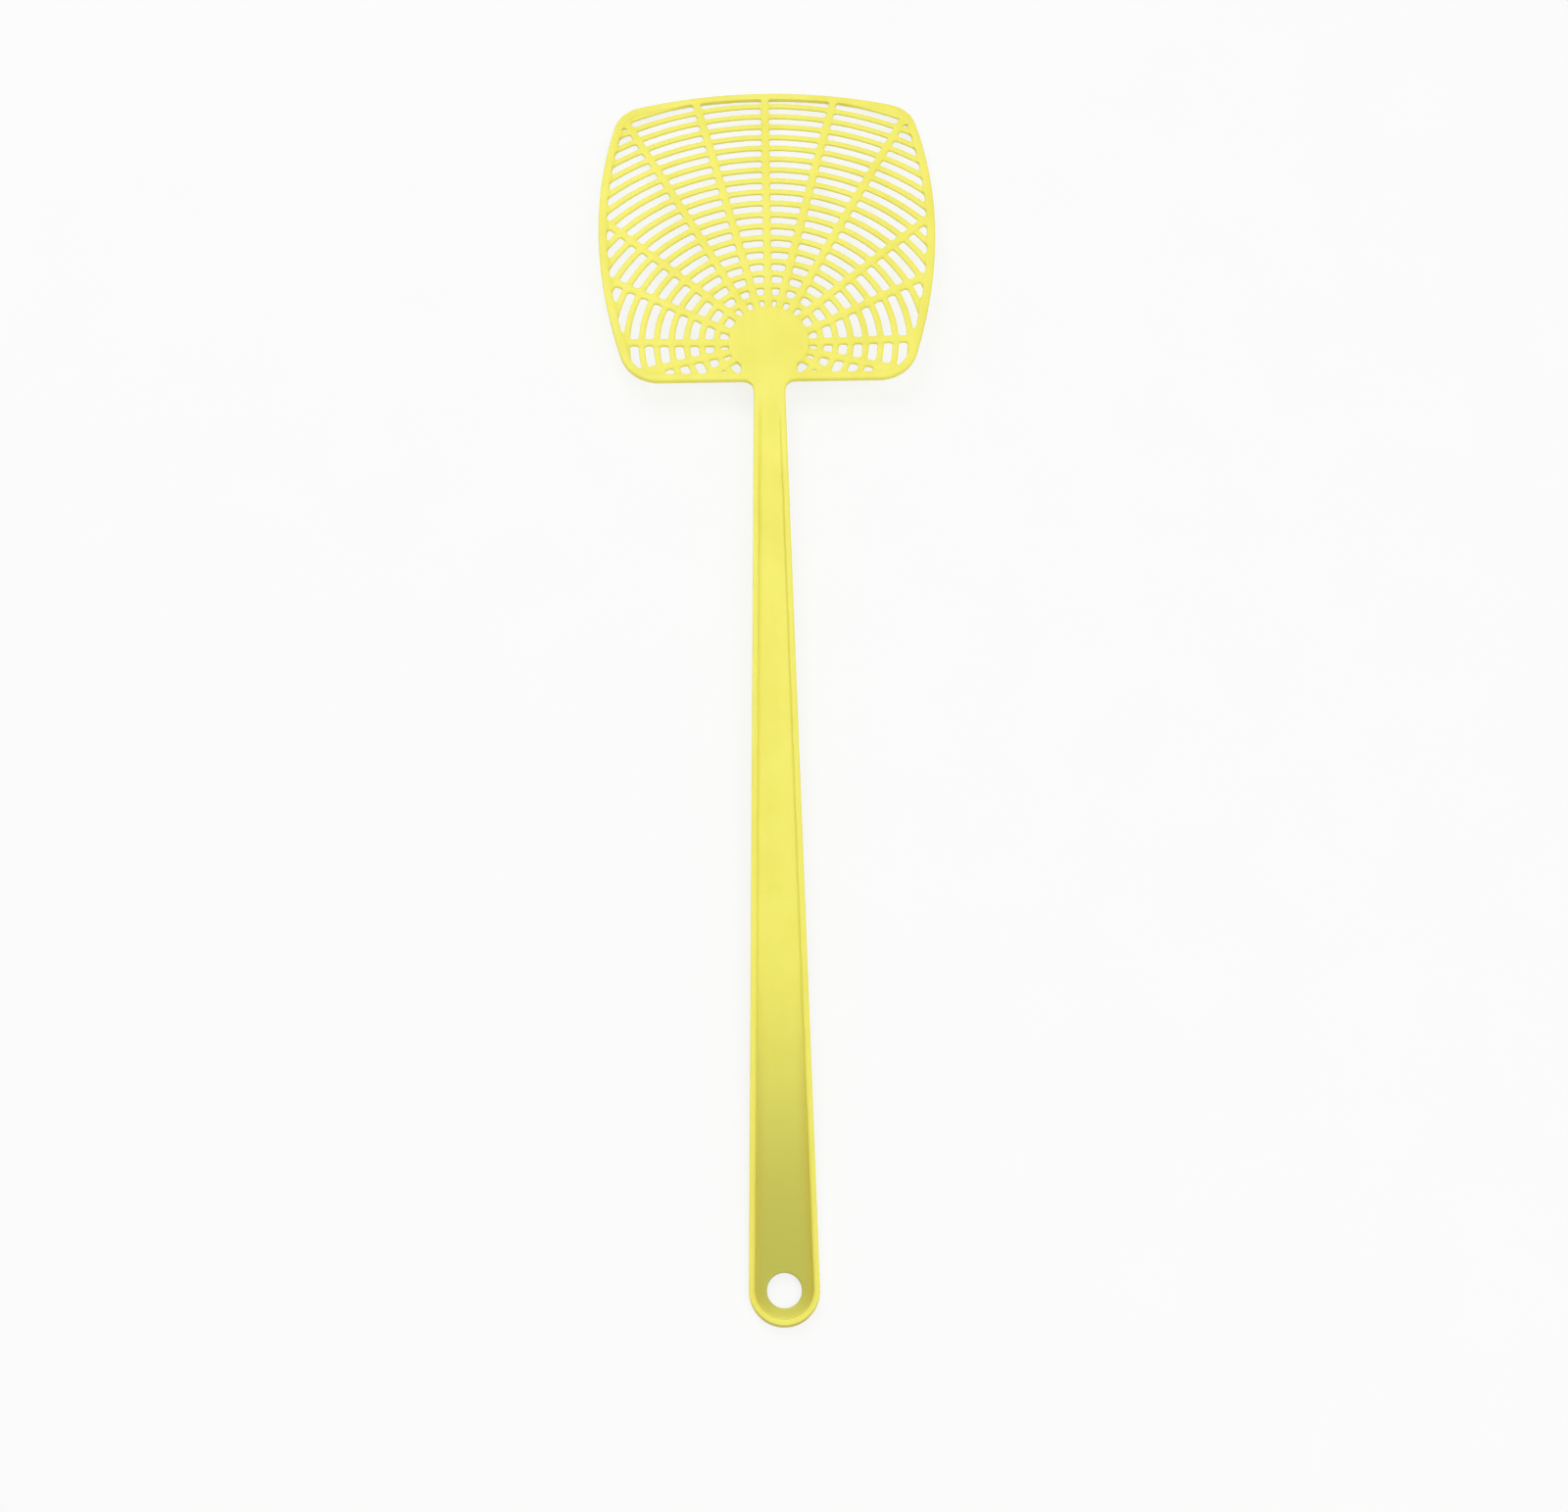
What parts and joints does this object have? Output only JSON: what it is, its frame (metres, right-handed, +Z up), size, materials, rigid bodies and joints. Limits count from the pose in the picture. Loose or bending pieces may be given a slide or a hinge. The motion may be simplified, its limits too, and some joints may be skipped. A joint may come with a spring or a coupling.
{
  "type": "fly swatter",
  "caption": "One-piece moulded plastic fly swatter: tapered bordered handle with a hanging hole, solid round hub, and a flat webbed head of rings and spokes inside a rim.",
  "frame": {"origin": "middle of the swatter's length and width, on the surface that it lies on", "axes": "+Z up, away from the surface; +Y along the handle, towards the head's tip; +X across"},
  "size_m": [0.12, 0.4484, 0.0111],
  "materials": {
    "yellow_plastic": "moulded polyethylene, semi-matte"
  },
  "bodies": {
    "root": {"border_end": "yellow_plastic", "border_left": "yellow_plastic", "border_right": "yellow_plastic", "handle_floor": "yellow_plastic", "head_rim": "yellow_plastic", "hub_plate": "yellow_plastic", "ring_00": "yellow_plastic", "ring_01": "yellow_plastic", "ring_02": "yellow_plastic", "ring_03": "yellow_plastic", "ring_04": "yellow_plastic", "ring_05": "yellow_plastic", "ring_06": "yellow_plastic", "ring_07": "yellow_plastic", "ring_08": "yellow_plastic", "ring_09": "yellow_plastic", "ring_10": "yellow_plastic", "ring_11": "yellow_plastic", "ring_12": "yellow_plastic", "ring_13": "yellow_plastic", "ring_14": "yellow_plastic", "ring_15": "yellow_plastic", "ring_16": "yellow_plastic", "ring_17": "yellow_plastic", "ring_18": "yellow_plastic", "spoke_centre": "yellow_plastic", "spoke_left_1": "yellow_plastic", "spoke_left_2": "yellow_plastic", "spoke_left_3": "yellow_plastic", "spoke_left_4": "yellow_plastic", "spoke_left_5": "yellow_plastic", "spoke_left_6": "yellow_plastic", "spoke_left_7": "yellow_plastic", "spoke_right_1": "yellow_plastic", "spoke_right_2": "yellow_plastic", "spoke_right_3": "yellow_plastic", "spoke_right_4": "yellow_plastic", "spoke_right_5": "yellow_plastic", "spoke_right_6": "yellow_plastic", "spoke_right_7": "yellow_plastic"}
  },
  "joints": []
}
